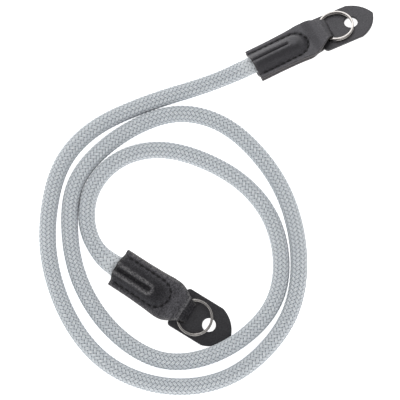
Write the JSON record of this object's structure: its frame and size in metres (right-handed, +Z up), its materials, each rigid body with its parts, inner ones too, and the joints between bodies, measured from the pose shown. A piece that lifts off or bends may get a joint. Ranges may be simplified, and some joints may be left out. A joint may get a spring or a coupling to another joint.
{
  "type": "camera neck strap",
  "caption": "Camera neck strap of round braided rope, with a folded leather tab, a split ring and a leather protector pad at each end.",
  "frame": {"origin": "on the surface the strap lies on, under the middle of the box around its two leather ends and their rings and pads", "axes": "+Z up off the surface, +Y from the end inside the loops (b) towards the free end outside them (a), +X to the right of that"},
  "size_m": [0.1881, 0.2252, 0.0149],
  "materials": {
    "braided_cord": "matte",
    "tab_leather": "satin",
    "pad_leather": "matte",
    "ring_steel": "polished"
  },
  "bodies": {
    "strap": {"rope": "braided_cord", "end_tab_a": "tab_leather", "end_tab_b": "tab_leather", "protector_pad_a": "pad_leather", "protector_pad_b": "pad_leather"},
    "ring_a": {"split_ring_a": "ring_steel"},
    "ring_b": {"split_ring_b": "ring_steel"}
  },
  "joints": [
    {"name": "ring_a_turn", "type": "hinge", "parent": "strap", "child": "ring_a", "pos_m": [0.05297, 0.08508, 0.00772], "axis": [-0.0871, 0.3421, 0.9356], "continuous": true},
    {"name": "ring_b_turn", "type": "hinge", "parent": "strap", "child": "ring_b", "pos_m": [-0.0273, -0.08308, 0.0055], "axis": [0.0372, -0.1272, 0.9912], "continuous": true}
  ]
}
